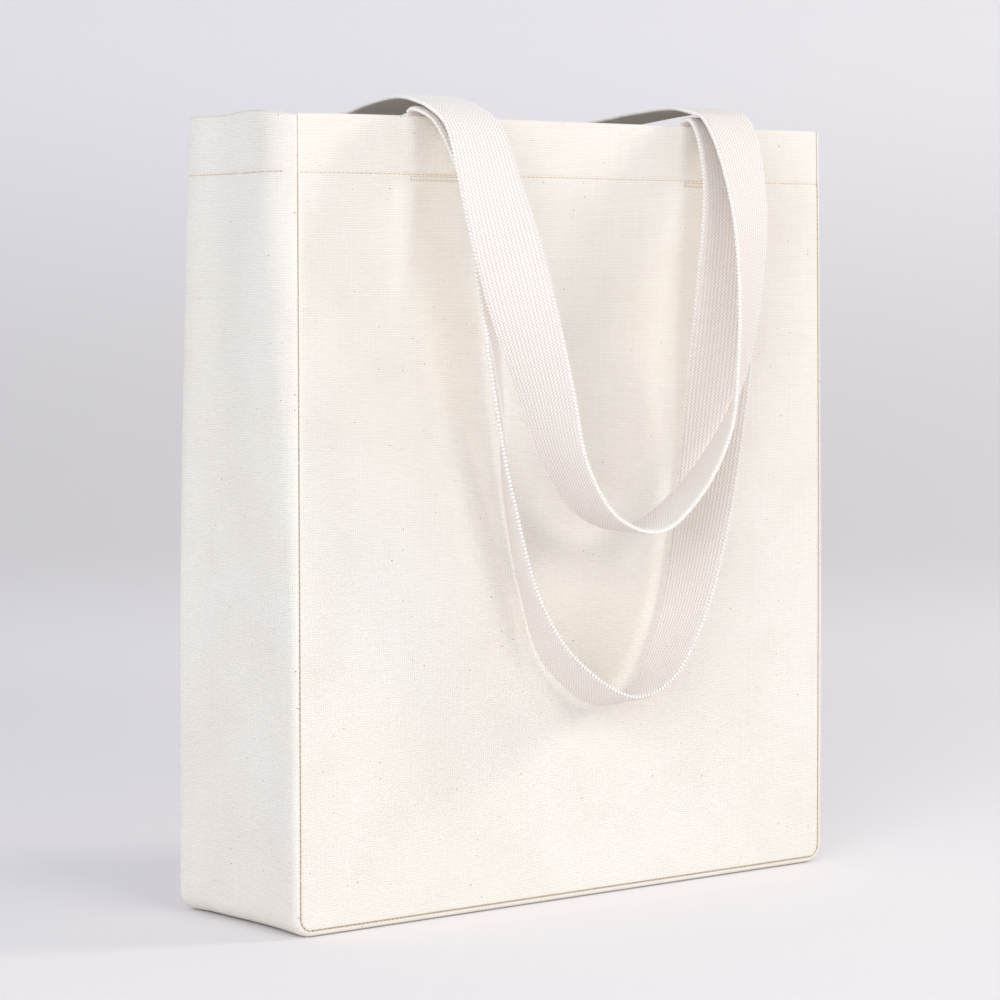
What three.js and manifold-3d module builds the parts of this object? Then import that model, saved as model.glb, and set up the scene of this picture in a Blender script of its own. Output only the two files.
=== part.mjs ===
// A boxed canvas tote bag with two webbing handles, in millimetres.
// +Z is up, X runs across the front, and the front panel faces -Y.
// The origin is the middle of the base, on the surface that the bag stands on.
import * as THREE from 'three';
import { mergeVertices } from 'three/addons/utils/BufferGeometryUtils.js';
import Module from 'manifold-3d';

// The bag
const width = 355.6; // 14 in across the front
const height = 406.4; // 16 in from the floor to the top edge
const depth = 101.6; // 4 in gusset
const canvas = 1.2; // one layer of cloth
const hemDepth = 31; // folded band round the mouth
const cornerRadius = 10; // where the gusset turns under the bag
const clearance = 0.3; // between pieces that only lie against each other
const cutPast = 1; // how far a cutting solid runs past what it cuts

// The inside seams, bound with tape
const seamAllowance = 9;
const bindingThickness = 2.4;

// Sewing thread, as it stands proud of the cloth
const threadWidth = 0.8;
const threadProud = 0.4;
const seamStitchInset = 3; // from the panel's edge to the row
const hemStitchRise = 1.5; // from the hem's lower fold up to the row
const bartackHeight = 2.6;
const bartackInset = 1; // from the webbing's selvedge to the row

// The handles
const webbingWidth = 33;
const webbingThickness = 2.5;
const handleSpacing = 184; // between the middles of one handle's two ends
const frontDrop = 300; // top edge of the bag to the bottom of the front loop
const backDrop = 210;
const stepsPerStation = 4;

// Heights over the top edge of the middle of webbing that lies on the hem, or on the front handle
const onHem = webbingThickness / 2;
const onFrontHandle = onHem + webbingThickness;

// Where each strap bends: distance out from the bag's nearer face, and height over the top edge
const hingeGap = 1.5; // webbing left free on each side of a bend's axis
const frontBend = { out: 1.2, rise: onHem + 1.85 }; // over the front hem
const backBend = { out: -5.8, rise: onHem + 0.35 }; // at the back hem, inside the back face
const loopBend = { out: 10, rise: onFrontHandle + 1.45 }; // where the back strap turns down in front
const loopBendGap = 2.2; // webbing left free on each side of that bend's axis, which turns further
const loopBendFall = 0.8; // from that bend's axis down to the loop's start, and up to the strap's end
const endRise = 0.6; // from the top edge up to the tip of each sewn end

// The back straps over the mouth: share of the depth in front of the middle, and height over the top edge
const strapStations = [
  [-0.3, onHem + 2.75],
  [0.06, onFrontHandle + 4.25],
  [0.4, onFrontHandle + 5.65],
];

// Stations of the hanging webbing, from the left end round to the right one: share of the half spacing,
// webbing widths in front of the bag, share of the drop, and how far its face has turned, in degrees.
const frontStations = [
  [-0.97, 0.376, 0.01, -6],
  [-0.91, 0.788, 0.128, -16],
  [-0.85, 0.727, 0.29, -36],
  [-0.75, 0.636, 0.48, -46],
  [-0.65, 0.545, 0.64, -58],
  [-0.49, 0.545, 0.814, -64],
  [-0.3, 0.606, 0.924, -78],
  [0.07, 0.697, 1, -88],
  [0.35, 0.667, 0.978, -92],
  [0.6, 0.606, 0.874, -98],
  [0.76, 0.576, 0.714, -110],
  [0.88, 0.576, 0.49, -128],
  [0.92, 0.667, 0.31, -154],
  [0.96, 0.636, 0.115, -172],
  [0.98, 0.352, 0.018, -178],
];
const backStations = [
  [-0.98, 0.788, 0.025, 4],
  [-0.99, 1.364, 0.21, 20],
  [-0.87, 1.545, 0.43, 44],
  [-0.67, 1.455, 0.65, 68],
  [-0.49, 1.333, 0.83, 84],
  [-0.23, 1.273, 0.96, 92],
  [0.1, 1.273, 1, 96],
  [0.45, 1.273, 0.91, 108],
  [0.7, 1.303, 0.768, 122],
  [0.84, 1.303, 0.607, 142],
  [0.91, 1.273, 0.407, 154],
  [0.95, 1.121, 0.212, 166],
  [0.97, 0.758, 0.045, 177],
];
const frontLift = 12; // degrees that the front loop's outer edge is tipped up at the bottom

const wasm = await Module();
wasm.setup();

const front = -depth / 2;
const back = depth / 2;
const hemLine = height - hemDepth;
const halfSpacing = handleSpacing / 2;

const canvasLook = { color: 0xf1e9dc, roughness: 0.92, metalness: 0 };
const webbingLook = { color: 0xf6f0e6, roughness: 0.85, metalness: 0 };
const threadLook = { color: 0xe9dcc6, roughness: 0.8, metalness: 0 };
const tapeLook = { color: 0xe6ddcd, roughness: 0.9, metalness: 0 };

const bag = new THREE.Group();

function addPiece(name, geometry, look) {
  const piece = new THREE.Mesh(geometry, new THREE.MeshStandardMaterial(look));
  piece.name = name;
  bag.add(piece);
  return piece;
}

function solidOf(geometry) {
  const bare = geometry.clone();
  bare.deleteAttribute('normal');
  bare.deleteAttribute('uv');
  const merged = mergeVertices(bare);
  return new wasm.Manifold(new wasm.Mesh({
    numProp: 3,
    vertProperties: new Float32Array(merged.attributes.position.array),
    triVerts: new Uint32Array(merged.index.array),
  }));
}

function geometryOf(solid) {
  const mesh = solid.getMesh();
  const geometry = new THREE.BufferGeometry();
  geometry.setAttribute('position', new THREE.BufferAttribute(mesh.vertProperties, 3));
  geometry.setIndex(new THREE.BufferAttribute(mesh.triVerts, 1));
  return geometry;
}

function box(low, high) {
  const size = high.map((value, i) => value - low[i]);
  const geometry = new THREE.BoxGeometry(...size);
  return geometry.translate(...low.map((value, i) => value + size[i] / 2));
}

// The bag's outline in the XZ plane, set in by some distance, from the top left down and round.
function outline(inset, top) {
  const side = width / 2 - inset;
  const radius = cornerRadius - inset;
  const steps = 6;
  const points = [new THREE.Vector2(-side, top)];
  for (const [centre, from] of [[-side + radius, Math.PI], [side - radius, 1.5 * Math.PI]]) {
    for (let i = 0; i <= steps; i += 1) {
      const angle = from + (i / steps) * Math.PI / 2;
      points.push(new THREE.Vector2(
        centre + radius * Math.cos(angle),
        inset + radius + radius * Math.sin(angle),
      ));
    }
  }
  points.push(new THREE.Vector2(side, top));
  return points;
}

// Extrudes an outline drawn in XZ along Y, between two depths.
function extrudeAcross(points, nearY, farY) {
  const geometry = new THREE.ExtrudeGeometry(new THREE.Shape(points), {
    depth: farY - nearY,
    bevelEnabled: false,
  });
  return geometry.rotateX(Math.PI / 2).translate(0, farY, 0);
}

// A U-shaped strip between two insets of the bag's outline.
function strip(outerInset, innerInset, top, nearY, farY) {
  const points = [...outline(outerInset, top), ...outline(innerInset, top).reverse()];
  return extrudeAcross(points, nearY, farY);
}

// A panel with its hem: a second layer folded in along the top edge.
function panel(name, outerY, inward) {
  const near = Math.min(outerY, outerY + inward * canvas);
  const cloth = extrudeAcross(outline(0, height), near, near + canvas);
  const half = width / 2 - 2 * canvas - clearance;
  const hemNear = Math.min(outerY, outerY + inward * 2 * canvas);
  const hem = box([-half, hemNear, hemLine], [half, hemNear + 2 * canvas, height]);
  addPiece(name, geometryOf(solidOf(cloth).add(solidOf(hem))), canvasLook);
}

// The gusset is one strip of canvas: up both sides and under the bag, hemmed at its two ends.
function gusset() {
  const near = front + canvas;
  const far = back - canvas;
  let solid = solidOf(strip(0, canvas, height, near, far));
  for (const side of [-1, 1]) {
    const outer = side * width / 2;
    const inner = side * (width / 2 - 2 * canvas);
    const hem = box([Math.min(outer, inner), near, hemLine], [Math.max(outer, inner), far, height]);
    solid = solid.add(solidOf(hem));
  }
  addPiece('gusset', geometryOf(solid), canvasLook);
}

// Tape folded over the seam allowances, lying on the gusset just inside each panel.
function seamBinding(name, outerY, inward) {
  const start = outerY + inward * canvas;
  const end = start + inward * seamAllowance;
  const top = hemLine - clearance;
  const thickness = canvas + bindingThickness;
  addPiece(name, strip(canvas, thickness, top, Math.min(start, end), Math.max(start, end)), tapeLook);
}

function seamStitch(name, outerY, outward) {
  const proud = outerY + outward * threadProud;
  const top = hemLine + hemStitchRise - clearance;
  const inner = seamStitchInset + threadWidth;
  const row = strip(seamStitchInset, inner, top, Math.min(outerY, proud), Math.max(outerY, proud));
  addPiece(name, row, threadLook);
}

// One row of stitching right round the mouth holds the hem down.
function hemStitch() {
  const low = hemLine + hemStitchRise;
  const high = low + threadWidth;
  const rowX = width / 2 + threadProud;
  const rowY = depth / 2 + threadProud;
  const outer = solidOf(box([-rowX, -rowY, low], [rowX, rowY, high]));
  const inner = solidOf(box([-width / 2, front, low - cutPast], [width / 2, back, high + cutPast]));
  addPiece('hem_stitch', geometryOf(outer.subtract(inner)), threadLook);
}

// Dense back-and-forth stitching through the hem at each end of a handle.
function bartack(name, middleX, outerY, outward) {
  const near = Math.min(outerY, outerY + outward * threadProud);
  const high = hemLine + hemStitchRise - clearance;
  const half = webbingWidth / 2 - bartackInset;
  const low = high - bartackHeight;
  const outer = solidOf(box([middleX - half, near, low], [middleX + half, near + threadProud, high]));
  const inner = solidOf(box(
    [middleX - half + threadWidth, near - cutPast, low + threadWidth],
    [middleX + half - threadWidth, near + cutPast, high - threadWidth],
  ));
  addPiece(name, geometryOf(outer.subtract(inner)), threadLook);
}

// The end of a handle, sewn flat inside the hem.
function handleEnd(name, middleX, outerY, inward) {
  const start = outerY + inward * 2 * canvas;
  const end = start + inward * webbingThickness;
  const half = webbingWidth / 2;
  addPiece(name, box(
    [middleX - half, Math.min(start, end), hemLine],
    [middleX + half, Math.max(start, end), height + endRise],
  ), webbingLook);
}

// Flat webbing along stations of [x, y, z, turn]. The turn is the heading of the webbing's width in plan,
// and lift tips that width out of the level where the webbing runs across.
function webbing(stations, lift) {
  const middle = new THREE.CatmullRomCurve3(stations.map(([x, y, z]) => new THREE.Vector3(x, y, z)));
  const turns = new THREE.CatmullRomCurve3(stations.map((station) => new THREE.Vector3(station[3], 0, 0)));
  const steps = (stations.length - 1) * stepsPerStation;
  const tip = THREE.MathUtils.degToRad(lift);
  const positions = [];
  for (let i = 0; i <= steps; i += 1) {
    const centre = middle.getPoint(i / steps);
    const along = middle.getTangent(i / steps);
    const turn = THREE.MathUtils.degToRad(turns.getPoint(i / steps).x);
    const across = new THREE.Vector3(
      Math.cos(turn),
      -Math.sin(turn) * Math.cos(tip),
      Math.sin(turn) * Math.sin(tip),
    );
    across.addScaledVector(along, -across.dot(along)).normalize();
    const face = new THREE.Vector3().crossVectors(along, across);
    for (const [u, v] of [[-1, -1], [1, -1], [1, 1], [-1, 1]]) {
      const corner = centre.clone()
        .addScaledVector(across, u * webbingWidth / 2)
        .addScaledVector(face, v * webbingThickness / 2);
      positions.push(corner.x, corner.y, corner.z);
    }
  }
  const faces = [0, 2, 1, 0, 3, 2];
  for (let i = 0; i < steps; i += 1) {
    for (let side = 0; side < 4; side += 1) {
      const a = 4 * i + side;
      const b = 4 * i + ((side + 1) % 4);
      faces.push(a, b, b + 4, a, b + 4, a + 4);
    }
  }
  const last = 4 * steps;
  faces.push(last, last + 1, last + 2, last, last + 2, last + 3);
  const geometry = new THREE.BufferGeometry();
  geometry.setAttribute('position', new THREE.Float32BufferAttribute(positions, 3));
  geometry.setIndex(faces);
  return geometry;
}

// A hanging station in the bag's own frame.
function hanging([share, out, fall, turn], drop) {
  return [share * halfSpacing, front - out * webbingWidth, height - fall * drop, turn];
}

function frontHandle() {
  const start = [front - frontBend.out - hingeGap, height + frontBend.rise];
  const stations = [
    [-halfSpacing, ...start, -3],
    ...frontStations.map((station) => hanging(station, frontDrop)),
    [halfSpacing, ...start, -180],
  ];
  addPiece('front_handle', webbing(stations, frontLift), webbingLook);
}

// The back handle crosses the mouth as two straps, then hangs outside the front one.
function backHandle() {
  const rear = [back + backBend.out - hingeGap, height + backBend.rise];
  const bend = front - loopBend.out;
  const bendZ = height + loopBend.rise;
  for (const [name, side, turn] of [['left', -1, 0], ['right', 1, 180]]) {
    const x = side * halfSpacing;
    addPiece(`back_handle_${name}_strap`, webbing([
      [x, ...rear, turn],
      ...strapStations.map(([share, rise]) => [x, -share * depth, height + rise, turn]),
      [x, bend + loopBendGap, bendZ + loopBendFall, turn],
    ], 0), webbingLook);
  }
  addPiece('back_handle', webbing([
    [-halfSpacing, bend - loopBendGap, bendZ - loopBendFall, 0],
    ...backStations.map((station) => hanging(station, backDrop)),
    [halfSpacing, bend - loopBendGap, bendZ - loopBendFall, 180],
  ], 0), webbingLook);
}

panel('front_panel', front, 1);
panel('back_panel', back, -1);
gusset();
seamBinding('front_seam_binding', front, 1);
seamBinding('back_seam_binding', back, -1);
seamStitch('front_seam_stitch', front, -1);
seamStitch('back_seam_stitch', back, 1);
hemStitch();
for (const [place, outerY, inward] of [['front', front, 1], ['back', back, -1]]) {
  for (const [name, side] of [['left', -1], ['right', 1]]) {
    const middleX = side * halfSpacing;
    handleEnd(`${place}_handle_${name}_end`, middleX, outerY, inward);
    bartack(`${place}_${name}_bartack`, middleX, outerY, -inward);
  }
}
frontHandle();
backHandle();

export default bag;
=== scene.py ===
# A boxed canvas tote bag with two hanging webbing handles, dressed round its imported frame. Units are metres.
import math

import bpy
import numpy as np
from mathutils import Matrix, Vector, noise


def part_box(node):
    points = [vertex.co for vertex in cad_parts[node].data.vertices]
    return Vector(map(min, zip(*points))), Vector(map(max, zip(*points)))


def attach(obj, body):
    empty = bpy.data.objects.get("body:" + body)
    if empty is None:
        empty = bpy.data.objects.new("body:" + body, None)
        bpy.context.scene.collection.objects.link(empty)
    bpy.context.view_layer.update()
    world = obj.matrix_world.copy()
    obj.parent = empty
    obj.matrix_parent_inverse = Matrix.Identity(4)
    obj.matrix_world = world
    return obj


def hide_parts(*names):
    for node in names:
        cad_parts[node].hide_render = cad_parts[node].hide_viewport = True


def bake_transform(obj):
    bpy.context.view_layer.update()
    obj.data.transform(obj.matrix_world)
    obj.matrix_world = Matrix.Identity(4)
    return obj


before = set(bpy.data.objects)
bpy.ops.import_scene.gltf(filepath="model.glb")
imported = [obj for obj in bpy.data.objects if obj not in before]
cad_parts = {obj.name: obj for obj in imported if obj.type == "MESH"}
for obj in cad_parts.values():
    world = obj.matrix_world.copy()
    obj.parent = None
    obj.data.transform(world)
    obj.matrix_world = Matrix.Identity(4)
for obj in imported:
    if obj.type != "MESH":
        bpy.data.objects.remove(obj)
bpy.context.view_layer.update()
print("frame loaded")

mm = 0.001
up = np.array([0.0, 0.0, 1.0])

# the camera stands off the near left corner, a little above the middle of the bag
camera = {
    "place": (-1.1305, -1.3814, 0.3231),
    "azimuth": -39.04,  # degrees
    "tilt": 3.71,  # degrees down
    "lens": 120.6,
    "sensor": 36.0,
}


def makeCamera():
    lens = bpy.data.cameras.new("studioCamera")
    lens.lens = camera["lens"]
    lens.sensor_width = camera["sensor"]
    eye = bpy.data.objects.new("studioCamera", lens)
    eye.location = camera["place"]
    eye.rotation_euler = (math.radians(90 - camera["tilt"]), 0, math.radians(camera["azimuth"]))
    bpy.context.scene.collection.objects.link(eye)
    bpy.context.scene.camera = eye


makeCamera()

# sizes read from the frame
panelLow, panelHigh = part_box("front_panel")
endLow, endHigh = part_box("front_handle_left_end")
bindingLow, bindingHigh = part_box("front_seam_binding")
halfWidth = panelHigh.x
halfDepth = -panelLow.y
height = panelHigh.z
canvasThickness = (panelHigh.y - panelLow.y) / 2  # the hem doubles it
hemLine = endLow.z
halfSpacing = -(endLow.x + endHigh.x) / 2
webbingWidth = endHigh.x - endLow.x
webbingThickness = endHigh.y - endLow.y
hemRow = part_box("hem_stitch")[0].z + 0.4 * mm


# Shader sockets with arithmetic: an expression on them adds its Math nodes
class Wire:
    def __init__(self, tree, socket=None):
        self.tree = tree
        self.socket = socket

    def node(self, kind, settings, sockets, output=0):
        made = self.tree.nodes.new("ShaderNode" + kind)
        for key, value in settings.items():
            setattr(made, key, value)
        for key, value in sockets.items():
            if isinstance(value, Wire):
                self.tree.links.new(value.socket, made.inputs[key])
            else:
                made.inputs[key].default_value = value
        return Wire(self.tree, made.outputs[output])

    def math(self, operation, *values):
        return self.node("Math", {"operation": operation}, dict(enumerate(values)))

    def __add__(self, other):
        return self.math("ADD", self, other)

    def __sub__(self, other):
        return self.math("SUBTRACT", self, other)

    def __rsub__(self, other):
        return self.math("SUBTRACT", other, self)

    def __mul__(self, other):
        return self.math("MULTIPLY", self, other)

    def step(self, low, high):
        limits = {0: self, 1: low, 2: high, 3: 0.0, 4: 1.0}
        return self.node("MapRange", {"interpolation_type": "SMOOTHSTEP"}, limits)

    def wave(self, pitch):
        return self.math("COSINE", self * (2 * math.pi / pitch)) * 0.5 + 0.5

    def vector(self, x, y):
        return self.node("CombineXYZ", {}, {0: x, 1: y, 2: 0.0})

    def parts(self):
        split = self.node("SeparateXYZ", {}, {0: self}).socket.node
        return [Wire(self.tree, output) for output in split.outputs]

    def noise(self, vector, scale, detail=2.0):
        return self.node("TexNoise", {}, {"Vector": vector, "Scale": scale, "Detail": detail})

    def mix(self, factor, first, second):
        return self.node("Mix", {"data_type": "RGBA"}, {0: factor, 6: first, 7: second}, 2)

    def random(self, vector, scale, output):
        return self.node("TexVoronoi", {}, {"Vector": vector, "Scale": scale}, output)


def startMaterial(name, roughness, sheen):
    material = bpy.data.materials.new(name)
    material.use_nodes = True
    tree = material.node_tree
    shader = tree.nodes["Principled BSDF"]
    shader.inputs["Roughness"].default_value = roughness
    shader.inputs["Specular IOR Level"].default_value = 0.25
    shader.inputs["Sheen Weight"].default_value = sheen
    shader.inputs["Sheen Roughness"].default_value = 0.5
    return material, Wire(tree), shader


def finishMaterial(wire, shader, colour, heightField, strength, distance):
    wire.tree.links.new(colour.socket, shader.inputs["Base Color"])
    bump = wire.node("Bump", {}, {"Strength": strength, "Distance": distance, "Height": heightField})
    wire.tree.links.new(bump.socket, shader.inputs["Normal"])


# A cloth's own flat coordinates in metres, whole and as its two directions
def flatCoordinates(wire):
    place = wire.node("UVMap", {"uv_map": "cloth"}, {})
    return place, *place.parts()[:2]


canvas = {
    "ribPitch": 1.17 * mm,
    "warpPitch": 1.25 * mm,
    "fleckCell": 4.2 * mm,
    "light": (0.935, 0.905, 0.85, 1),
    "dark": (0.58, 0.50, 0.415, 1),
    "warm": (0.92, 0.875, 0.795, 1),
    "fleck": (0.22, 0.15, 0.10, 1),
}


# Plain weave with a heavier weft: ribs across, finer warp, thick and thin yarns, blotches and seed flecks
def canvasMaterial():
    material, wire, shader = startMaterial("naturalCanvas", 0.92, 0.25)
    place, across, along = flatCoordinates(wire)
    wander = wire.noise(place, 60.0) * (0.5 * mm)
    weft = wire.noise(wire.vector(across * 22.0, along * 900.0), 1.0)
    warp = wire.noise(wire.vector(across * 900.0, along * 22.0), 1.0)
    ribs = (along + wander).wave(canvas["ribPitch"])
    yarns = (across + wander).wave(canvas["warpPitch"])
    slubs = wire.noise(wire.vector(across * 160.0, along * 1100.0), 1.0, 3.0)
    weave = ribs * (weft * 0.7 + 0.25) + yarns * (warp * 0.7 + 0.05) + slubs * 0.65
    blotches = wire.noise(place, 26.0, 4.0)
    shade = (1.35 - weave) * 0.36 + blotches.step(0.42, 0.8) * 0.10
    broad = wire.noise(place, 9.0, 2.0)
    pale = wire.mix(broad.step(0.3, 0.75), canvas["light"], canvas["warm"])
    cloth = wire.mix(shade, pale, canvas["dark"])
    cell = 1.0 / canvas["fleckCell"]
    spread = wire.vector(across * 0.6, along * 1.25)
    near = wire.random(spread, cell, "Distance")
    chance = wire.node("SeparateColor", {}, {0: wire.random(spread, cell, "Color")})
    flecks = (1.0 - near.step(0.03, 0.09)) * chance.step(0.4, 0.95)
    colour = wire.mix(flecks, cloth, canvas["fleck"])
    finishMaterial(wire, shader, colour, weave + flecks * 0.5, 0.6, 0.3 * mm)
    return material


webbing = {
    "columnPitch": 2.06 * mm,  # one zigzag column
    "wavePeriod": 1.9 * mm,  # along the webbing
    "swing": 0.30,  # share of a column that the zigzag swings each way
    "ridge": 0.16 * mm,
    "light": (0.97, 0.965, 0.95, 1),
    "dark": (0.62, 0.485, 0.385, 1),
}


# Herringbone: in each column the yarns run up one side and back, so its middle line zigzags along the webbing
def webbingMaterial():
    material, wire, shader = startMaterial("cottonWebbing", 0.86, 0.3)
    place, across, along = flatCoordinates(wire)
    loose = wire.noise(place, 240.0) * (0.35 * mm)
    turn = wire.math("PINGPONG", (along + loose) * (2.0 / webbing["wavePeriod"]), 1.0)
    column = across * (1.0 / webbing["columnPitch"]) + (turn - 0.5) * (2 * webbing["swing"])
    cord = column.wave(1.0)
    bulge = wire.math("PINGPONG", turn, 0.5) * 1.2
    weave = cord * (bulge * 0.55 + 0.55)
    fibres = wire.noise(wire.vector(across * 900.0, along * 300.0), 1.0)
    shade = (1.0 - weave) * 0.85 + fibres * 0.14 - 0.20
    colour = wire.mix(shade, webbing["light"], webbing["dark"])
    finishMaterial(wire, shader, colour, weave + fibres * 0.15, 0.6, 0.3 * mm)
    return material


# Twisted yarn: fine slanting fibres in two tones, on the object's own coordinates
def yarnMaterial(name, light, dark):
    material, wire, shader = startMaterial(name, 0.85, 0.3)
    place = wire.node("TexCoord", {}, {}, "Object")
    fibres = wire.noise(place, 2600.0, 3.0)
    patches = wire.noise(place, 180.0)
    colour = wire.mix(fibres.step(0.35, 0.7) * 0.6 + patches * 0.3, light, dark)
    finishMaterial(wire, shader, colour, fibres, 0.5, 0.12 * mm)
    return material


# Woven tape: a close twill on its own flat coordinates
def tapeMaterial():
    material, wire, shader = startMaterial("bindingTape", 0.9, 0.25)
    place, across, along = flatCoordinates(wire)
    twill = (across + along).wave(0.8 * mm)
    edges = wire.noise(place, 500.0)
    shade = (1.0 - twill) * 0.4 + edges * 0.2
    colour = wire.mix(shade, (0.80, 0.73, 0.63, 1), (0.62, 0.55, 0.45, 1))
    finishMaterial(wire, shader, colour, twill + edges * 0.3, 0.6, 0.2 * mm)
    return material


canvasCloth = canvasMaterial()
webbingCloth = webbingMaterial()
selvedgeYarn = yarnMaterial("selvedgeYarn", (0.95, 0.935, 0.91, 1), (0.80, 0.73, 0.66, 1))
sewingThread = yarnMaterial("sewingThread", (0.78, 0.64, 0.47, 1), (0.58, 0.43, 0.28, 1))
tapeCloth = tapeMaterial()
print("materials made")


def smooth(value, low, high):
    share = np.clip((value - low) / (high - low), 0, 1)
    return share * share * (3 - 2 * share)


def softNoise(x, y, size, seed):
    flat = np.stack([np.ravel(x) / size, np.ravel(y) / size], 1)
    values = [noise.noise(Vector((a, b, seed))) for a, b in flat]
    return np.array(values).reshape(np.shape(x))


# Positions from low to high, spaced by step, and by fine within reach of each of the places named
def spacing(low, high, step, fine, reach, places):
    found = [low]
    while found[-1] < high - 1e-7:
        near = min(abs(found[-1] + fine / 2 - p) for p in places)
        found.append(found[-1] + (fine if near < reach else min(step, max(fine, near - reach + fine))))
    found[-1] = high
    return np.array(found)


def addMesh(name, points, faces, flat, material):
    mesh = bpy.data.meshes.new(name)
    mesh.from_pydata([tuple(p) for p in points], [], faces)
    layer = mesh.uv_layers.new(name="cloth")
    corner = np.zeros(len(mesh.loops), int)
    mesh.loops.foreach_get("vertex_index", corner)
    layer.data.foreach_set("uv", np.asarray(flat, float)[corner].ravel())
    mesh.materials.append(material)
    mesh.shade_smooth()
    piece = bpy.data.objects.new(name, mesh)
    bpy.context.scene.collection.objects.link(piece)
    return piece


# Faces that close a tube of rings, with a cap at each end
def tubeFaces(rings, columns):
    faces = []
    for i in range(rings - 1):
        for k in range(columns):
            a, b = i * columns + k, i * columns + (k + 1) % columns
            faces.append((a, b, b + columns, a + columns))
    faces.append(tuple(range(columns))[::-1])
    faces.append(tuple((rings - 1) * columns + k for k in range(columns)))
    return faces


# A closed cloth from a grid of points on its outer side. Rows run along the cloth, and its thickness lies
# behind it. A rounded end is the fold of a hem, and a plain one is hidden in a seam.
def clothShell(name, outer, flat, thickness, roundStart, roundEnd, material):
    along = np.gradient(outer, axis=0)
    across = np.gradient(outer, axis=1)
    normal = np.cross(across, along)
    normal /= np.linalg.norm(normal, axis=2, keepdims=True)
    inner = outer - normal * thickness[..., None]
    arcSteps = 6
    layers = [*outer]
    places = [*flat]

    def fold(fromRow, toRow, spot):
        middle = (fromRow + toRow) / 2
        half = (toRow - fromRow) / 2
        radius = np.linalg.norm(half, axis=1, keepdims=True)
        for k in range(1, arcSteps):
            angle = math.pi * k / arcSteps
            layers.append(middle - half * math.cos(angle) + up * radius * math.sin(angle))
            places.append(spot + radius * angle * np.array([[0.0, 1.0]]))

    if roundEnd:
        fold(outer[-1], inner[-1], flat[-1])
    layers += [*inner[::-1]]
    places += [*flat[::-1]]
    if roundStart:
        fold(inner[0], outer[0], flat[0])
    count, columns = len(layers), outer.shape[1]
    faces = []
    for i in range(count):
        here, there = i * columns, (i + 1) % count * columns
        for j in range(columns - 1):
            faces.append((here + j, here + j + 1, there + j + 1, there + j))
    rows = outer.shape[0]
    back = rows + (arcSteps - 1 if roundEnd else 0) + rows - 1  # the inner layer behind row 0
    for j, turned in ((0, False), (columns - 1, True)):
        for i in range(rows - 1):
            side = [k * columns + j for k in (i, i + 1, back - i - 1, back - i)]
            faces.append(tuple(side[::-1] if turned else side))
        for rounded, first, last in ((roundEnd, rows - 1, back - rows + 1), (roundStart, back, count)):
            if rounded:
                side = [k % count * columns + j for k in range(first, last + 1)]
                faces.append(tuple(side[::-1] if turned else side))
    points = np.concatenate(layers)
    return addMesh(name, points, faces, np.concatenate(places), material)


# How the bag stands: two top corners lean in, the foot spreads, and the mouth's edge isn't quite level
settling = {
    "backLeftIn": 1.9 * mm,
    "frontRightIn": 1.2 * mm,
    "backLeftRise": 1.5 * mm,
    "frontLeftFall": 0.9 * mm,
    "gussetRise": 1.8 * mm,
    "footSpread": 3.2 * mm,  # the foot is wider than the mouth
    "cornerOut": 3.0 * mm,
    "cornerBulge": 6.0 * mm,  # the left gusset's swell beside its front seam, at the mouth
    "bulgeReach": 22 * mm,
}


def settle(points):
    moved = np.array(points, float)
    x, y, z = moved[..., 0] / halfWidth, moved[..., 1] / halfDepth, moved[..., 2] / height
    rise = np.clip(z, 0, 1) ** 3
    left = np.clip(-x, 0, 1) ** 4
    right = np.clip(x, 0, 1) ** 4
    back = np.clip((y + 1) / 2, 0, 1)
    away = np.clip((moved[..., 1] + halfDepth) / settling["bulgeReach"], 0, None)
    swell = np.where(away < 1, 1 - (1 - np.minimum(away, 1)) ** 2, 1) * (1 - smooth(away, 1, 3.6))
    bulge = swell * smooth(z, 0.3, 0.9) * settling["cornerBulge"]
    foot = (1 - np.clip(z, 0, 1) ** 2) * settling["footSpread"]
    backLeftIn = left * back * settling["backLeftIn"]
    moved[..., 0] += rise * (backLeftIn - right * (1 - back) * settling["frontRightIn"])
    moved[..., 0] += foot * (right - left * back) - left * ((1 - back) ** 2 * settling["cornerOut"] + bulge)
    moved[..., 1] -= rise * backLeftIn
    moved[..., 1] += foot * left * back
    edge = np.clip(z, 0, 1) ** 8
    corners = back * settling["backLeftRise"] - (1 - back) ** 4 * settling["frontLeftFall"]
    crest = np.clip(1 - ((y + 0.35) / 0.6) ** 2, 0, 1) * settling["gussetRise"]
    moved[..., 2] += edge * left * (corners + crest)
    return moved


seam = {
    "inset": 2.4 * mm,  # from the bag's side to where the gusset dives into the seam
    "groove": 0.8 * mm,  # half the width of the furrow between the two cloths
    "depth": 1.35 * mm,
    "bottomRadius": 10 * mm,
    "pucker": 0.28 * mm,
}


# Half the width of the front at a height, out to a distance in from the bag's outline
def outlineHalf(z, inset):
    radius = seam["bottomRadius"] - inset
    fall = np.clip((inset + radius - z) / radius, 0, 1)
    return halfWidth - inset - radius * (1 - np.sqrt(1 - fall ** 2))


panel = {
    "step": 3.0 * mm,
    "fine": 0.45 * mm,
    "hollow": 1.6 * mm,  # how far the middle sinks in
    "broadWave": 2.2 * mm,
    "broadSize": 95 * mm,
    "smallWave": 0.6 * mm,
    "smallSize": 34 * mm,
    "endBulge": 1.0 * mm,  # over each sewn handle end
    "fold": 3.2 * mm,  # soft folds that run down from the handle ends
    "foldHalf": 7.5 * mm,
    "foldLength": 95 * mm,
    "foldLean": 10 * mm,
    "rowDip": 0.35 * mm,  # where the hem stitching pulls the cloth in
    "rowHalf": 0.9 * mm,
    "rowPucker": 0.2 * mm,
    "turnRadius": 1.5 * mm,  # of the edges that turn in at the seam
    "patternShift": 0.9,  # keeps the back's flecks apart from the front's
}
panelMargin = seam["inset"] + seam["groove"] * 1.05


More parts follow.
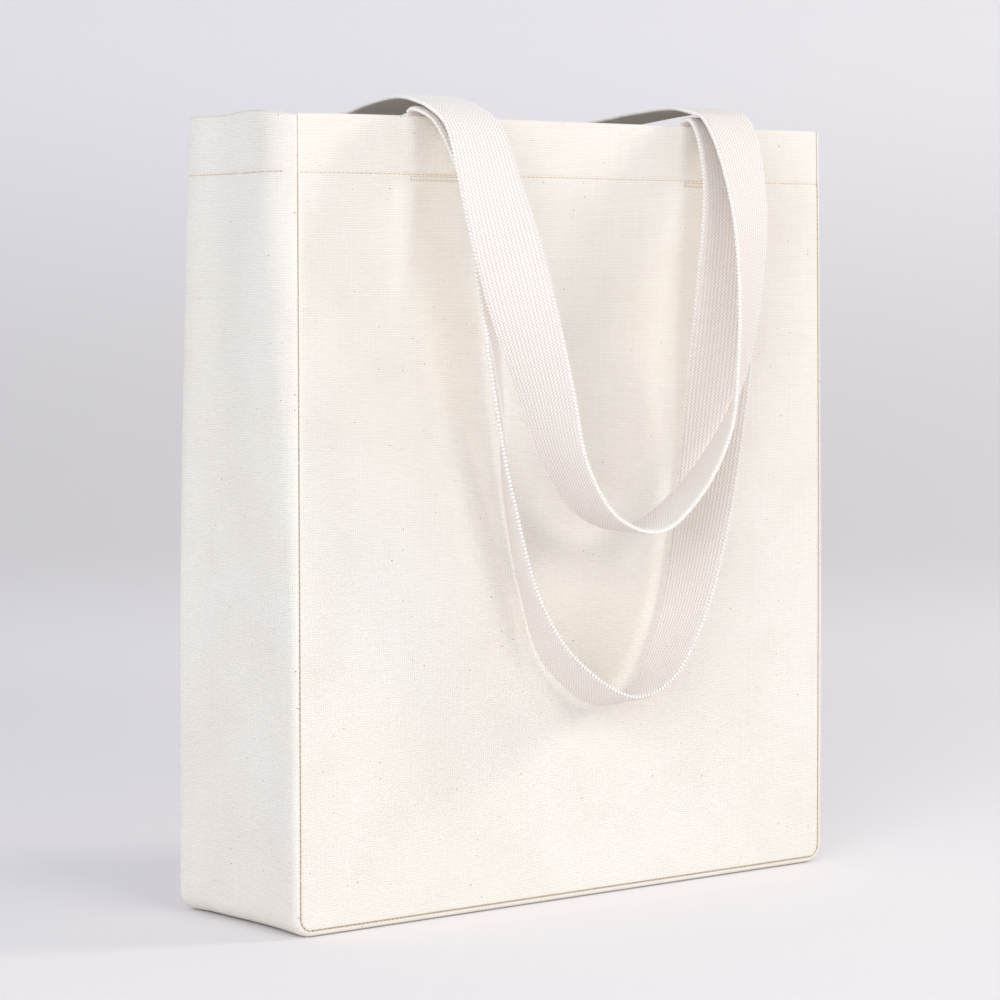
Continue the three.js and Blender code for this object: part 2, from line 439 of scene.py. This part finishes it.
# Where a panel's outline is nearest, in from its seam
def panelEdge(x, z):
    return np.minimum(outlineHalf(z, panelMargin) - abs(x), z - panelMargin)


# How far a panel's cloth lies inside its flat plane. The side is -1 for the front.
def panelSag(x, z, side):
    edge = panelEdge(x, z)
    seed = 3.1 if side < 0 else 17.7
    middle = smooth(edge, 0, 34 * mm)
    slack = 1 - 0.75 * smooth(z, hemLine - 60 * mm, height)
    sag = panel["hollow"] * middle * (0.6 + 0.4 * np.cos(x / halfWidth * 1.5))
    sag += panel["broadWave"] * (softNoise(x, z * 0.7, panel["broadSize"], seed) + 0.3) * middle * slack
    small = softNoise(x + 0.25 * z, z * 0.6, panel["smallSize"], seed + 4)
    sag += panel["smallWave"] * small * smooth(edge, 0, 12 * mm)
    for end in (-halfSpacing, halfSpacing):
        over = smooth(webbingWidth / 2 + 2 * mm - abs(x - end), 0, 3 * mm)
        sag -= panel["endBulge"] * (over * smooth(z, hemLine - 3 * mm, hemLine + 2 * mm))
        below = np.clip((hemLine - z) / panel["foldLength"], 0, 1)
        line = end - 0.42 * webbingWidth - panel["foldLean"] * below
        crease = np.exp(-(((x - line) / panel["foldHalf"]) ** 2))
        sag -= panel["fold"] * (crease * smooth(hemLine - z, -1 * mm, 8 * mm) * (1 - below) ** 1.5)
    pucker = softNoise(x * 0.25, z, 9 * mm, seed + 9) * np.exp(-edge / (7 * mm))
    sag += seam["pucker"] * pucker * smooth(edge, 0, 2 * mm)
    row = abs(z - hemRow)
    sag += panel["rowDip"] * np.exp(-((row / panel["rowHalf"]) ** 2))
    gathered = softNoise(x, z * 0.2, 6 * mm, seed + 13) * np.exp(-row / (6 * mm))
    sag += panel["rowPucker"] * gathered * smooth(edge, 0, 5 * mm)
    return sag


# One panel: flat cloth whose sides and foot turn in at the seam, and twice as thick above the hem line
def makePanel(name, side, node):
    step, fine = panel["step"], panel["fine"]
    shares = spacing(-1, 1, step / halfWidth, fine / halfWidth, 4 * mm / halfWidth, [-1, 1])
    busy = [panelMargin, hemRow, hemLine, height]
    levels = spacing(panelMargin, height - canvasThickness, step, fine, 3 * mm, busy)
    share, z = np.meshgrid(shares, levels)
    x = share * outlineHalf(z, panelMargin)
    turned = np.clip(1 - panelEdge(x, z) / panel["turnRadius"], 0, 1)
    turn = seam["depth"] * (1 - np.sqrt(1 - turned ** 2))
    y = side * (halfDepth - turn - panelSag(x, z, side))
    outer = settle(np.stack([x, y, z], 2))
    thickness = canvasThickness * (1 + smooth(z, hemLine - 0.3 * mm, hemLine + 0.3 * mm))
    flat = np.stack([x + (panel["patternShift"] if side > 0 else 0), z], 2)
    if side > 0:
        outer, flat, thickness = outer[:, ::-1], flat[:, ::-1], thickness[:, ::-1]
    piece = clothShell(name, outer, flat, thickness, False, True, canvasCloth)
    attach(piece, "root")
    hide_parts(node)
    return piece


frontCanvas = makePanel("front_canvas", -1, "front_panel")
backCanvas = makePanel("back_canvas", 1, "back_panel")
print("panels made")

gusset = {
    "step": 3.0 * mm,
    "wrapTop": 20 * mm,  # how far round the side the soft corner reaches at the mouth
    "wrapLow": 4.5 * mm,
    "wave": 1.1 * mm,
    "hollow": 1.3 * mm,
    "rowDip": 0.3 * mm,
    "baseLift": 0.8 * mm,  # the base is off the floor in its middle
}


# The gusset's path from the left top round to the right top: place, outward direction and length so far
def gussetPath():
    radius = seam["bottomRadius"]
    places = [height, hemRow, hemLine]
    drop = spacing(radius, height - canvasThickness, gusset["step"], 0.5 * mm, 3 * mm, places)[::-1]
    points = [(-halfWidth, z, -1.0, 0.0) for z in drop]
    turns = 8
    for k in range(1, turns):
        angle = math.pi / 2 * k / turns
        points.append((
            -halfWidth + radius * (1 - math.cos(angle)), radius * (1 - math.sin(angle)),
            -math.cos(angle), -math.sin(angle),
        ))
    base = np.linspace(-halfWidth + radius, halfWidth - radius, int(2 * halfWidth / gusset["step"]))
    points += [(x, 0.0, 0.0, -1.0) for x in base]
    points += [(-x, z, -outX, outZ) for x, z, outX, outZ in points[:len(drop) + turns - 1][::-1]]
    path = np.array(points)
    length = np.concatenate([[0], np.cumsum(np.linalg.norm(np.diff(path[:, :2], axis=0), axis=1))])
    return path, length


# Rows across the gusset from the front seam to the back one, each at one place along its path
def makeGusset():
    path, length = gussetPath()
    rows, places, thick = [], [], []
    for (x, z, outX, outZ), s in zip(path, length):
        tall = smooth(z, 0.35 * height, 0.95 * height) * abs(outX)
        wrap = gusset["wrapLow"] + (gusset["wrapTop"] - gusset["wrapLow"]) * tall
        inset = seam["inset"]
        half = []
        for k in (3, 2, 1):  # down into the seam
            half.append((inset + seam["groove"] * k / 3, halfDepth - seam["depth"] * (k / 3) ** 1.6))
        for a in np.radians(np.linspace(90, 0, 11)):  # round the corner
            half.append((inset * (1 - math.cos(a)), halfDepth - wrap * (1 - math.sin(a))))
        middle = [(0.0, (halfDepth - wrap) * (2 * share - 1)) for share in np.linspace(0, 1, 30)[1:-1]]
        section = np.array([(i, -y) for i, y in half] + middle + half[::-1])
        depth = section[:, 1]
        fromSeam = halfDepth - abs(depth)
        flatness = smooth(fromSeam, 0, 24 * mm)
        standing = abs(outX)
        ripple = softNoise(depth, np.full_like(depth, s * 0.6), 40 * mm, 31.3)
        hollow = gusset["hollow"] * (1 - (depth / halfDepth) ** 2)
        sag = (hollow * flatness + gusset["wave"] * ripple * flatness) * standing
        dip = gusset["rowDip"] * math.exp(-((abs(z - hemRow) / panel["rowHalf"]) ** 2))
        sag = sag + dip * standing * smooth(fromSeam, 0, 6 * mm)
        lift = (1 - standing) * gusset["baseLift"] * flatness
        inward = section[:, 0] + sag + lift
        rows.append(np.stack([x - outX * inward, depth, z - outZ * inward], 1))
        places.append(np.stack([depth, np.full_like(depth, s)], 1))
        folded = smooth(fromSeam, 2.5 * mm, 7 * mm) if z > hemLine and standing else 0
        thick.append(np.full_like(depth, canvasThickness) * (1 + folded))
    outer = settle(np.array(rows))
    flat = np.array(places)
    piece = clothShell("gusset_canvas", outer, flat, np.array(thick), True, True, canvasCloth)
    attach(piece, "root")
    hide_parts("gusset")
    return piece, length[-1]


gussetCanvas, gussetLength = makeGusset()
print("gusset made")

binding = {
    "width": bindingHigh.y - bindingLow.y,
    "thickness": 2.4 * mm,
    "tape": 0.45 * mm,
    "lift": 3.3 * mm,  # off the gusset's outside
    "wobble": 0.35 * mm,
    "behindFace": 1.9 * mm,
    "cutWidth": 2.2,  # of the tape, in widths as sewn
}


# The tape's section: folded in half over the raw edges, as the outside of the fold and back along its inside
def bindingSection():
    arcSteps = 6
    section = []
    for skin in (0.0, binding["tape"]):
        radius = binding["thickness"] / 2 - skin
        run = binding["width"] - binding["thickness"] / 2
        half = [(w, skin) for w in np.linspace(0, run, 4)[:-1]]
        for k in range(arcSteps + 1):
            a = -math.pi / 2 + math.pi * k / arcSteps
            half.append((run + radius * math.cos(a), binding["thickness"] / 2 + radius * math.sin(a)))
        half += [(w, binding["thickness"] - skin) for w in np.linspace(run, 0, 4)[1:]]
        section += half if skin == 0 else half[::-1]
    return section


# Tape folded over the seam allowances, lying on the gusset's inside all the way round
def makeBinding(name, side, node):
    path, length = gussetPath()
    keep = path[:, 1] < hemLine - 1.5 * mm
    path, length = path[keep], length[keep]
    section = bindingSection()
    columns = len(section)
    girth = np.concatenate([[0], np.cumsum(np.linalg.norm(np.diff(section, axis=0), axis=1))])
    points, flat = [], []
    for (x, z, outX, outZ), s in zip(path, length):
        wobble = binding["wobble"] * noise.noise(Vector((s / (18 * mm), side, 5.2)))
        lift = binding["lift"] + wobble
        for (wide, high), g in zip(section, girth):
            y = side * (halfDepth - binding["behindFace"] - wide)
            points.append((x - outX * (lift + high), y, z - outZ * (lift + high)))
            flat.append((g, s))
    faces = tubeFaces(len(path), columns)
    if side > 0:
        faces = [f[::-1] for f in faces]
    piece = addMesh(name, settle(points), faces, flat, tapeCloth)
    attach(piece, "root")
    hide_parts(node)


makeBinding("front_binding", -1, "front_seam_binding")
makeBinding("back_binding", 1, "back_seam_binding")
print("bindings made")


# One geometry node with its settings, and its inputs as links or plain values
def nodeIn(tree, kind, settings, links):
    made = tree.nodes.new(kind)
    for key, value in settings.items():
        setattr(made, key, value)
    for key, value in links.items():
        if hasattr(value, "is_output"):
            tree.links.new(value, made.inputs[key])
        else:
            made.inputs[key].default_value = value
    return made


# Geometry Nodes: small rounded lengths of yarn laid along a path at an even pitch, each turned by a slant
# in the cloth's own plane. The path carries that plane's normal in its facing attribute.
def yarnRowTree(name, material):
    tree = bpy.data.node_groups.new(name, "GeometryNodeTree")
    sockets = {}
    tree.interface.new_socket("Geometry", in_out="INPUT", socket_type="NodeSocketGeometry")
    for label in ("Pitch", "Width", "Thickness", "Length", "Slant"):
        socket = tree.interface.new_socket(label, in_out="INPUT", socket_type="NodeSocketFloat")
        sockets[label] = socket.identifier
    tree.interface.new_socket("Geometry", in_out="OUTPUT", socket_type="NodeSocketGeometry")
    inputs = nodeIn(tree, "NodeGroupInput", {}, {}).outputs
    curve = nodeIn(tree, "GeometryNodeMeshToCurve", {}, {"Mesh": inputs["Geometry"]})
    points = nodeIn(tree, "GeometryNodeCurveToPoints", {"mode": "LENGTH"}, {
        "Curve": curve.outputs[0], "Length": inputs["Pitch"],
    })
    vectorKind = {"data_type": "FLOAT_VECTOR"}
    facing = nodeIn(tree, "GeometryNodeInputNamedAttribute", vectorKind, {"Name": "facing"})
    axes = {"primary_axis": "Z", "secondary_axis": "X"}
    frameOf = nodeIn(tree, "FunctionNodeAxesToRotation", axes, {
        "Primary Axis": points.outputs["Tangent"], "Secondary Axis": facing.outputs[0],
    })
    slant = nodeIn(tree, "ShaderNodeCombineXYZ", {}, {"X": inputs["Slant"]})
    turn = nodeIn(tree, "FunctionNodeEulerToRotation", {}, {0: slant.outputs[0]})
    rotation = nodeIn(tree, "FunctionNodeRotateRotation", {"rotation_space": "LOCAL"}, {
        0: frameOf.outputs[0], 1: turn.outputs[0],
    })
    ball = nodeIn(tree, "GeometryNodeMeshUVSphere", {}, {"Segments": 6, "Rings": 4, "Radius": 0.5})
    size = nodeIn(tree, "ShaderNodeCombineXYZ", {}, {
        "X": inputs["Thickness"], "Y": inputs["Width"], "Z": inputs["Length"],
    })
    shaped = nodeIn(tree, "GeometryNodeTransform", {}, {
        "Geometry": ball.outputs["Mesh"], "Scale": size.outputs[0],
    })
    placed = nodeIn(tree, "GeometryNodeInstanceOnPoints", {}, {
        "Points": points.outputs["Points"], "Instance": shaped.outputs[0], "Rotation": rotation.outputs[0],
    })
    real = nodeIn(tree, "GeometryNodeRealizeInstances", {}, {0: placed.outputs[0]})
    rounded = nodeIn(tree, "GeometryNodeSetShadeSmooth", {}, {"Geometry": real.outputs[0]})
    painted = nodeIn(tree, "GeometryNodeSetMaterial", {}, {
        "Geometry": rounded.outputs[0], "Material": material,
    })
    nodeIn(tree, "NodeGroupOutput", {}, {0: painted.outputs[0]})
    return tree, sockets


stitchTree = yarnRowTree("stitchRow", sewingThread)
selvedgeTree = yarnRowTree("selvedgeRow", selvedgeYarn)


# Runs a row tree along paths, each a list of points with the cloth's facing at each, and keeps the mesh
def growRows(name, paths, tree, sizes):
    points = np.concatenate([np.array(p) for p, _ in paths])
    facing = np.concatenate([np.broadcast_to(f, np.shape(p)) for p, f in paths])
    edges, start = [], 0
    for p, _ in paths:
        edges += [(start + k, start + k + 1) for k in range(len(p) - 1)]
        start += len(p)
    mesh = bpy.data.meshes.new(name + "Path")
    mesh.from_pydata([tuple(p) for p in points], edges, [])
    mesh.attributes.new("facing", "FLOAT_VECTOR", "POINT")
    mesh.attributes["facing"].data.foreach_set("vector", facing.astype(float).ravel())
    carrier = bpy.data.objects.new(name + "Path", mesh)
    bpy.context.scene.collection.objects.link(carrier)
    modifier = carrier.modifiers.new("rows", "NODES")
    modifier.node_group = tree[0]
    for label, value in sizes.items():
        modifier[tree[1][label]] = value
    shown = carrier.evaluated_get(bpy.context.evaluated_depsgraph_get())
    grown = bpy.data.meshes.new_from_object(shown)
    grown.name = name
    bpy.data.objects.remove(carrier)
    piece = bpy.data.objects.new(name, grown)
    bpy.context.scene.collection.objects.link(piece)
    return piece


hemStitches = {
    "Pitch": 2.9 * mm, "Width": 0.55 * mm, "Thickness": 0.5 * mm, "Length": 2.5 * mm, "Slant": 0.10,
}
seamStitches = {
    "Pitch": 2.6 * mm, "Width": 0.6 * mm, "Thickness": 0.5 * mm, "Length": 2.4 * mm, "Slant": 0.06,
}
tackStitches = {
    "Pitch": 1.9 * mm, "Width": 0.55 * mm, "Thickness": 0.5 * mm, "Length": 1.35 * mm, "Slant": 0.3,
}
sewing = {
    "hemProud": 0.05 * mm,
    "insideProud": 0.35 * mm,
    "seamSunk": 0.45 * mm,
    "tackProud": 0.1 * mm,
    "tackInset": 0.35 * mm,
    "frontEnds": 5 * mm,  # how far the hem rows stop from the corners
    "sideEnds": 7 * mm,
}


# A point on a panel's outer face, and a little proud of it
def onPanel(x, z, side, proud):
    y = side * (halfDepth + proud - panelSag(x, z, side))
    return settle(np.stack([x, y, z], -1))


def rideThread(piece, node):
    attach(piece, "root")
    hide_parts(node)


# The hem's row on both panels and both sides of the gusset, outside and inside
def makeHemStitches():
    paths = []
    reach = halfWidth - sewing["frontEnds"]
    across = np.linspace(-reach, reach, 180)
    for side in (-1, 1):
        facing = np.array([0, side, 0])
        level = np.full_like(across, hemRow)
        paths.append((onPanel(across, level, side, sewing["hemProud"]), facing))
        inside = onPanel(across, level, side, -2 * canvasThickness - sewing["insideProud"])
        paths.append((inside, -facing))
    reach = halfDepth - sewing["sideEnds"]
    depths = np.linspace(-reach, reach, 40)
    vertices = np.array([v.co for v in gussetCanvas.data.vertices])
    for side in (-1, 1):
        band = vertices[(abs(vertices[:, 2] - hemRow) < 0.6 * mm) & (vertices[:, 0] * side > 0)]
        for inner in (False, True):
            line = []
            for y in depths:
                near = band[np.argsort(abs(band[:, 1] - y))[:8]]
                x = near[:, 0].min() if (side < 0) != inner else near[:, 0].max()
                line.append((x, y, hemRow))
            paths.append((np.array(line), np.array([side * (-1 if inner else 1), 0, 0])))
    rideThread(growRows("hem_stitches", paths, stitchTree, hemStitches), "hem_stitch")


def makeSeamStitches(name, side, node):
    path = gussetPath()[0]
    path = path[path[:, 1] < hemRow - 0.8 * mm]
    inset = seam["inset"] + seam["groove"]
    x = path[:, 0] - path[:, 2] * inset
    z = path[:, 1] - path[:, 3] * inset
    y = np.full_like(x, side * (halfDepth - sewing["seamSunk"]))
    points = settle(np.stack([x, y, z], 1))
    rideThread(growRows(name, [(points, np.array([0, side, 0]))], stitchTree, seamStitches), node)


# A sewn end's close stitching: two rows across, and the two short sides between them
def makeBartack(name, side, node):
    low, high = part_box(node)
    inset = sewing["tackInset"]
    left, right = low.x + inset, high.x - inset
    bottom, top = low.z + inset, high.z - inset
    paths = []
    for z in (bottom, top):
        x = np.linspace(left, right, 24)
        paths.append(onPanel(x, np.full_like(x, z), side, sewing["tackProud"]))
    for x in (left, right):
        z = np.linspace(bottom + 0.5 * mm, top - 0.5 * mm, 4)
        paths.append(onPanel(np.full_like(z, x), z, side, sewing["tackProud"]))
    rows = [(path, np.array([0, side, 0])) for path in paths]
    rideThread(growRows(name, rows, stitchTree, tackStitches), node)


makeHemStitches()
makeSeamStitches("front_seam_stitches", -1, "front_seam_stitch")
makeSeamStitches("back_seam_stitches", 1, "back_seam_stitch")
for place, side in (("front", -1), ("back", 1)):
    for hand in ("left", "right"):
        makeBartack(f"{place}_{hand}_tack_stitches", side, f"{place}_{hand}_bartack")
print("stitches made")


# A centripetal Catmull-Rom curve through rows of numbers, at a whole row plus a share of the way to the next
def curveAt(rows, index, share):
    last = len(rows) - 1
    p1, p2 = rows[index], rows[index + 1]
    p0 = rows[index - 1] if index > 0 else 2 * rows[0] - rows[1]
    p3 = rows[index + 2] if index + 2 <= last else 2 * rows[last] - rows[last - 1]
    steps = [np.linalg.norm(b - a) ** 0.5 for a, b in ((p0, p1), (p1, p2), (p2, p3))]
    middle = steps[1] if steps[1] > 1e-4 else 1.0
    first = steps[0] if steps[0] > 1e-4 else middle
    final = steps[2] if steps[2] > 1e-4 else middle
    start = ((p1 - p0) / first - (p2 - p0) / (first + middle) + (p2 - p1) / middle) * middle
    end = ((p2 - p1) / middle - (p3 - p1) / (middle + final) + (p3 - p2) / final) * middle
    square = 3 * (p2 - p1) - 2 * start - end
    cube = 2 * (p1 - p2) + start + end
    return p1 + start * share + square * share ** 2 + cube * share ** 3


# The webbing's middle line as rings: place, width direction, face direction and length so far.
# A station is x, y, z in millimetres and the heading of the webbing's width in degrees.
def webbingRings(stations, lift):
    table = np.array(stations, float)
    middle, turns = table[:, :3] * mm, table[:, 3:]
    fineSteps = 40
    samples = [(i, k / fineSteps) for i in range(len(table) - 1) for k in range(fineSteps)]
    samples.append((len(table) - 2, 1.0))
    places = np.array([curveAt(middle, i, s) for i, s in samples])
    heading = np.radians([curveAt(turns, i, s)[0] for i, s in samples])
    along = np.gradient(places, axis=0)
    along /= np.linalg.norm(along, axis=1, keepdims=True)
    tip = math.radians(lift)
    swing = np.sin(heading)
    across = np.stack([np.cos(heading), -swing * math.cos(tip), swing * math.sin(tip)], 1)
    across -= along * (across * along).sum(1, keepdims=True)
    across /= np.linalg.norm(across, axis=1, keepdims=True)
    lengths = np.concatenate([[0], np.cumsum(np.linalg.norm(np.diff(places, axis=0), axis=1))])
    turned = np.concatenate([[0], np.cumsum(np.linalg.norm(np.diff(along, axis=0), axis=1))])
    effort = lengths + handles["bendDetail"] * turned  # rings lie closer where the webbing bends
    wanted = np.linspace(0, effort[-1], int(effort[-1] / handles["ringStep"]))
    keep = np.unique(np.searchsorted(effort, wanted).clip(0, len(effort) - 1))
    return places[keep], across[keep], np.cross(along, across)[keep], lengths[keep]


# The webbing's section: one face out to the selvedge and back along the other, a low ridge for each column
def webbingSection():
    half = webbingWidth / 2 - handles["selvedge"]
    thick, pitch = webbingThickness / 2, webbing["columnPitch"]
    samples = int(round(webbingWidth / pitch)) * 4
    wide = np.linspace(-half, half, samples + 1)[1:-1]
    corner = np.sqrt(1 - np.clip((abs(wide) - half + thick) / thick, 0, 1) ** 2 * 0.85)
    high = (thick - webbing["ridge"] * np.sin(math.pi * wide / pitch) ** 2) * corner
    section = [(-half, 0.0)] + list(zip(wide, high)) + [(half, 0.0)] + list(zip(wide[::-1], -high[::-1]))
    return np.array(section), samples


handles = {
    "ringStep": 2.4 * mm,
    "bendDetail": 9 * mm,  # extra rings, as length for each radian that the webbing bends
    "selvedge": 0.5 * mm,  # half the depth of the corded edge
    "frontDrop": 300 * mm,
    "backDrop": 210 * mm,
    "frontLift": 12,  # degrees
    "mouthPart": 8 * mm,  # off the mouth's middle, where the back handle may be parted
    "hemBend": 11.5 * mm,  # lengths over which the webbing bends
    "hemLean": 6,  # degrees
    "strapBend": 10 * mm,
    "loopBendBefore": 6 * mm,
    "loopBendPast": 9 * mm,
}
selvedgeYarns = {
    "Pitch": 2.1 * mm, "Width": 1.5 * mm, "Thickness": 2.3 * mm, "Length": 2.9 * mm, "Slant": 0.55,
}


def sweepWebbing(name, rings, first, last):
    section, samples = webbingSection()
    places, across, face, lengths = (part[first:last] for part in rings)
    count, columns = len(places), len(section)
    points = (
        places[:, None] + across[:, None] * section[None, :, :1] + face[:, None] * section[None, :, 1:]
    ).reshape(-1, 3)
    girth = np.concatenate([[0], np.cumsum(np.linalg.norm(np.diff(section, axis=0), axis=1))])
    flat = np.array([(g, s) for s in lengths for g in girth])
    faces = [f[::-1] for f in tubeFaces(count, columns)]
    body = addMesh(name, points, faces, flat, webbingCloth)
    body.data.set_sharp_from_angle(angle=math.radians(70))
    edges = []
    for side in (-1, 1):
        line = places + across * side * (webbingWidth / 2 - handles["selvedge"])
        edges.append((line, face))
    cords = growRows(name + "_selvedge", edges, selvedgeTree, selvedgeYarns)
    return body, cords


# Bakes a length of webbing and its selvedge cords into place, and hides the frame parts that they replace
def dressWebbing(body, cords, nodes):
    for piece in (body, cords):
        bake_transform(piece)
    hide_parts(*nodes)


# Stations of the hanging webbing: share of the half spacing, webbing widths in front of the bag, share of the
# drop, and how far the webbing's face has turned, in degrees
frontStations = [
    [-0.97, 0.376, 0.01, -6],
    [-0.91, 0.788, 0.128, -16],
    [-0.85, 0.727, 0.29, -36],
    [-0.75, 0.636, 0.48, -46],
    [-0.65, 0.545, 0.64, -58],
    [-0.49, 0.545, 0.814, -64],
    [-0.3, 0.606, 0.924, -78],
    [0.07, 0.697, 1, -88],
    [0.35, 0.667, 0.978, -92],
    [0.6, 0.606, 0.874, -98],
    [0.76, 0.576, 0.714, -110],
    [0.88, 0.576, 0.49, -128],
    [0.92, 0.667, 0.31, -154],
    [0.96, 0.636, 0.115, -172],
    [0.98, 0.352, 0.018, -178],
]
backStations = [
    [-0.98, 0.788, 0.025, 4],
    [-0.99, 1.364, 0.21, 20],
    [-0.87, 1.545, 0.43, 44],
    [-0.67, 1.455, 0.65, 68],
    [-0.49, 1.333, 0.83, 84],
    [-0.23, 1.273, 0.96, 92],
    [0.1, 1.273, 1, 96],
    [0.45, 1.273, 0.91, 108],
    [0.7, 1.303, 0.768, 122],
    [0.84, 1.303, 0.607, 142],
    [0.91, 1.273, 0.407, 154],
    [0.95, 1.121, 0.212, 166],
    [0.97, 0.758, 0.045, 177],
]


def hanging(station, drop):
    share, out, fall, turn = station
    x = share * halfSpacing / mm
    y = (-halfDepth - out * webbingWidth) / mm
    z = (height - fall * drop) / mm
    return [x, y, z, turn]


# Stations from a sewn end inside the front hem, up and over the top edge, in millimetres
def frontEnd(x, turn):
    face, top = -halfDepth / mm, height / mm
    inside = (endLow.y + endHigh.y) / 2 / mm
    return [
        [x, inside, hemLine / mm, turn],
        [x, inside, top - 14, turn],
        [x, inside, top - 3, turn],
        [x, inside - 0.5, top + 1.8, turn],
        [x, face + 0.5, top + 3.2, turn],
        [x, face - 2.7, top + 3.1, turn],
    ]


# Stations from a sewn end inside the back hem, over the mouth and past the front edge. The sink is 1 where
# the webbing lies low over the mouth before it climbs.
def backEnd(x, turn, sink):
    top = height / mm
    inside = -(endLow.y + endHigh.y) / 2 / mm
    depth = 2 * halfDepth / mm
    return [
        [x, inside, hemLine / mm, turn],
        [x, inside, top - 14, turn],
        [x, inside - 0.1, top - 3, turn],
        [x, inside - 1.0, top + 0.2, turn],
        [x, inside - 3.6, top + 1.5, turn],
        [x, 0.3 * depth, top + 4.2 - 2.0 * sink, turn],
        [x, 0.06 * depth, top + 6.8 - 3.8 * sink, turn],
        [x, -0.14 * depth, top + 8.6 - 1.6 * sink, turn],
        [x, -0.4 * depth, top + 9.6, turn],
        [x, -0.5 * depth - 7.8, top + 6.0, turn],
        [x, -0.5 * depth - 12.2, top + 4.4, turn],
    ]


def makeFrontHandle():
    x = halfSpacing / mm
    stations = frontEnd(-x, 0) + [hanging(s, handles["frontDrop"]) for s in frontStations]
    stations += frontEnd(x, -180)[::-1]
    rings = webbingRings(stations, handles["frontLift"])
    body, cords = sweepWebbing("front_webbing", rings, 0, None)
    nodes = ("front_handle_left_end", "front_handle", "front_handle_right_end")
    dressWebbing(body, cords, nodes)


def makeBackHandle():
    x = halfSpacing / mm
    stations = backEnd(-x, 0, 1) + [hanging(s, handles["backDrop"]) for s in backStations]
    stations += backEnd(x, 180, 0)[::-1]
    rings = webbingRings(stations, 0)
    nearMiddle = abs(rings[0][:, 1]) < handles["mouthPart"]
    overMouth = np.flatnonzero(nearMiddle & (rings[0][:, 2] > height))
    half = len(rings[0]) // 2
    left, right = overMouth[overMouth < half][2], overMouth[overMouth > half][-3]
    for hand, first, last in (("left", 0, left + 1), ("right", right, len(rings[0]))):
        body, cords = sweepWebbing(f"back_{hand}_webbing", rings, first, last)
        nodes = (f"back_handle_{hand}_end", f"back_handle_{hand}_strap")
        length = rings[3][last - 1] - rings[3][first]
        dressWebbing(body, cords, nodes)
    body, cords = sweepWebbing("back_loop_webbing", rings, left, right + 1)
    length = rings[3][right] - rings[3][left]
    dressWebbing(body, cords, ("back_handle",))


makeFrontHandle()
makeBackHandle()
print("handles made")

studio = {
    "floorReach": 6.0,
    "wallAt": 2.2,
    "sweep": 1.4,
    "wallHigh": 5.0,
    "paper": (0.93, 0.90, 0.905, 1),
    # the colour of the painted shade in the paper's darker band
    "paintedShadePaper": (0.745, 0.715, 0.715, 1),
}


# Seamless paper: the floor runs back and sweeps up into the wall, with a band of painted shade low on it
def makeBackdrop():
    material, wire, shader = startMaterial("backdropPaper", 0.95, 0.0)
    place = wire.node("TexCoord", {}, {}, "Object")
    level = place.parts()[2]
    # painted shade: the paper darkens in a band from the floor up the sweep, darkest from about 0.09 to 0.12 m
    # up and gone by about 0.62 m, standing in for uneven light falloff
    band = (level.step(0.0, 0.09) * 0.75 + 0.25) * (1.0 - level.step(0.12, 0.62))
    cloudy = wire.noise(place, 1.3)
    colour = wire.mix(band * 0.9 + cloudy * 0.1, studio["paper"], studio["paintedShadePaper"])
    finishMaterial(wire, shader, colour, wire.noise(place, 900.0), 0.05, 0.1 * mm)
    turn = math.radians(camera["azimuth"])
    away = np.array([-math.sin(turn), math.cos(turn), 0])
    side = np.array([math.cos(turn), math.sin(turn), 0])
    profile = [(-studio["floorReach"], 0.0), (studio["wallAt"] - studio["sweep"], 0.0)]
    steps = 24
    for k in range(1, steps + 1):
        a = math.pi / 2 * k / steps
        profile.append((
            studio["wallAt"] - studio["sweep"] * (1 - math.sin(a)), studio["sweep"] * (1 - math.cos(a)),
        ))
    profile.append((studio["wallAt"], studio["wallHigh"]))
    points, flat = [], []
    for reach, z in profile:
        for across in (-studio["floorReach"], studio["floorReach"]):
            points.append(away * reach + side * across + up * z)
            flat.append((across, reach))
    faces = [(2 * k, 2 * k + 1, 2 * k + 3, 2 * k + 2) for k in range(len(profile) - 1)]
    piece = addMesh("backdrop", points, faces, flat, material)


lamps = {
    "key": {"place": (-0.1, -2.3, 1.1), "size": 0.9, "power": 12, "colour": (1.0, 0.97, 0.92)},
    "side": {"place": (1.9, -1.0, 1.15), "size": 0.6, "power": 16, "colour": (1.0, 0.96, 0.90)},
    "fill": {"place": (-2.05, -1.3, 0.95), "size": 1.5, "power": 26, "colour": (0.93, 0.96, 1.0)},
    "top": {"place": (0.3, 0.5, 2.4), "size": 1.8, "power": 3, "colour": (0.62, 0.80, 1.0)},
}
world = {"colour": (0.90, 0.93, 1.0, 1), "strength": 0.60}


def makeLights():
    target = Vector((0, 0, height / 2))
    for name, lamp in lamps.items():
        light = bpy.data.lights.new(name, "AREA")
        light.energy = lamp["power"]
        light.size = lamp["size"]
        light.color = lamp["colour"]
        holder = bpy.data.objects.new(name, light)
        holder.location = lamp["place"]
        holder.rotation_euler = (target - Vector(lamp["place"])).to_track_quat("-Z", "Y").to_euler()
        bpy.context.scene.collection.objects.link(holder)
    sky = bpy.data.worlds.new("softRoom")
    sky.use_nodes = True
    back = sky.node_tree.nodes["Background"]
    back.inputs[0].default_value = world["colour"]
    back.inputs[1].default_value = world["strength"]
    bpy.context.scene.world = sky
    bpy.context.scene.view_settings.view_transform = "Standard"


makeBackdrop()
makeLights()
print("studio made")
